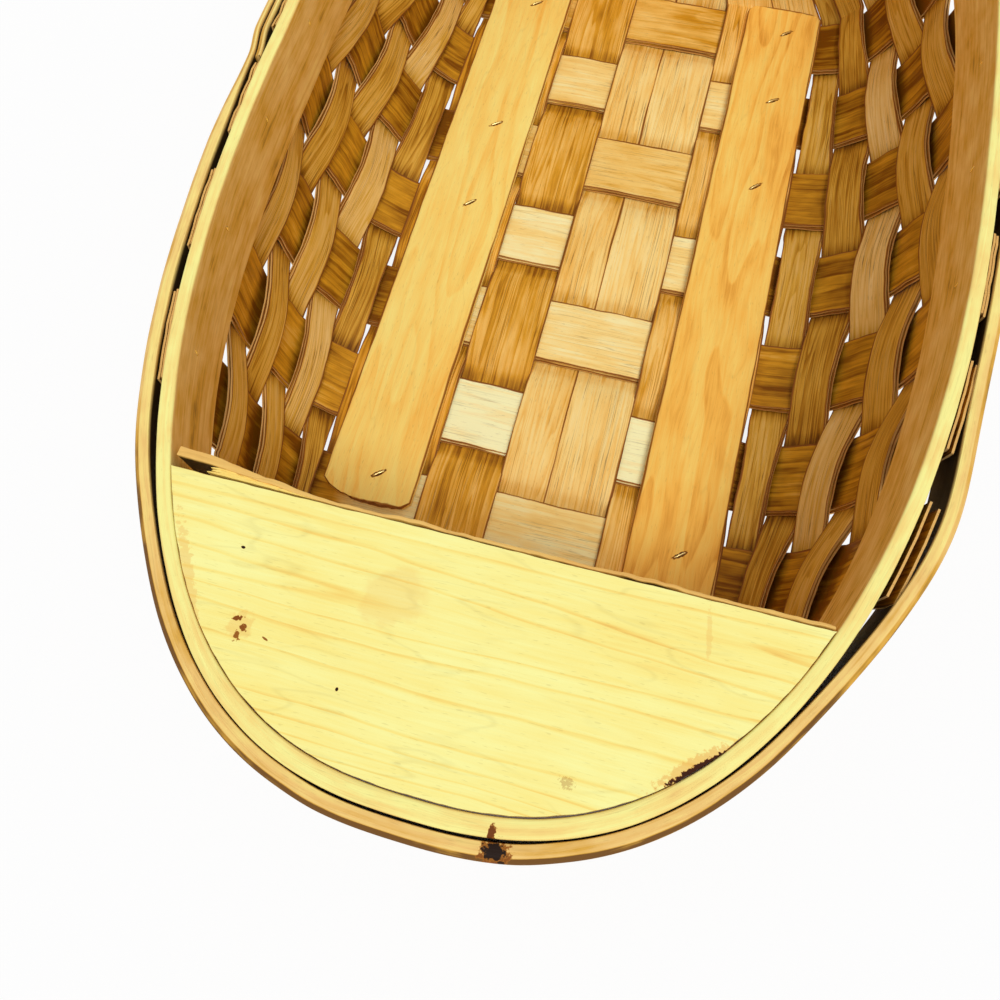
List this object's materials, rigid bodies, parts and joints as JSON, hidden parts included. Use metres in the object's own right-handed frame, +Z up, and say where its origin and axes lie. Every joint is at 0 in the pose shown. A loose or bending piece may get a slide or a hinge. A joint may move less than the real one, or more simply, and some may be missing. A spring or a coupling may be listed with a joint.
{
  "type": "woven splint basket",
  "caption": "Open oval foraging basket of woven wood splints, with two bent hoops round the rim, a D-shaped deck board at each end and two long slats on the floor.",
  "frame": {"origin": "middle of the basket on the plane that it stands on", "axes": "+Z up, +Y along the length towards the far end, +X to the right"},
  "size_m": [0.238, 0.4556, 0.0938],
  "materials": {
    "hoop_wood": "pale bent wood, bare",
    "deck_wood": "pale sawn board, bare",
    "slat_wood": "smooth honey-coloured slat, bare",
    "rib_wood": "sliced splint, bare",
    "strip_wood": "sliced splint, bare",
    "weaver_wood": "sliced splint, bare, darker",
    "steel": "plain wire, slightly rusted"
  },
  "bodies": {
    "root": {"far_clamp_strip": "slat_wood", "far_deck_board": "deck_wood", "far_rib_inner_ply": "rib_wood", "far_rib_outer_ply": "rib_wood", "fifth_rib_inner_ply": "rib_wood", "fifth_rib_outer_ply": "rib_wood", "floor_strip_1": "strip_wood", "floor_strip_2": "strip_wood", "floor_strip_3": "strip_wood", "floor_strip_4": "strip_wood", "floor_strip_5": "strip_wood", "floor_strip_6": "strip_wood", "floor_strip_7": "strip_wood", "inner_hoop": "hoop_wood", "left_floor_slat": "slat_wood", "left_slat_staple_1": "steel", "left_slat_staple_2": "steel", "left_slat_staple_3": "steel", "left_slat_staple_4": "steel", "left_weaver_1": "weaver_wood", "left_weaver_2": "weaver_wood", "left_weaver_3": "weaver_wood", "left_weaver_4": "weaver_wood", "left_weaver_5": "weaver_wood", "middle_rib_inner_ply": "rib_wood", "middle_rib_outer_ply": "rib_wood", "near_clamp_strip": "slat_wood", "near_deck_board": "deck_wood", "near_rib_inner_ply": "rib_wood", "near_rib_outer_ply": "rib_wood", "outer_hoop": "hoop_wood", "right_floor_slat": "slat_wood", "right_slat_staple_1": "steel", "right_slat_staple_2": "steel", "right_slat_staple_3": "steel", "right_slat_staple_4": "steel", "right_weaver_1": "weaver_wood", "right_weaver_2": "weaver_wood", "right_weaver_3": "weaver_wood", "right_weaver_4": "weaver_wood", "right_weaver_5": "weaver_wood", "rim_pin_left_far": "steel", "rim_pin_left_fifth": "steel", "rim_pin_left_middle": "steel", "rim_pin_left_near": "steel", "rim_pin_left_second": "steel", "rim_pin_left_sixth": "steel", "rim_pin_left_third": "steel", "rim_pin_right_far": "steel", "rim_pin_right_fifth": "steel", "rim_pin_right_middle": "steel", "rim_pin_right_sixth": "steel", "rim_pin_right_third": "steel", "second_rib_inner_ply": "rib_wood", "second_rib_outer_ply": "rib_wood", "sixth_rib_inner_ply": "rib_wood", "sixth_rib_outer_ply": "rib_wood", "third_rib_inner_ply": "rib_wood", "third_rib_outer_ply": "rib_wood"}
  },
  "joints": []
}
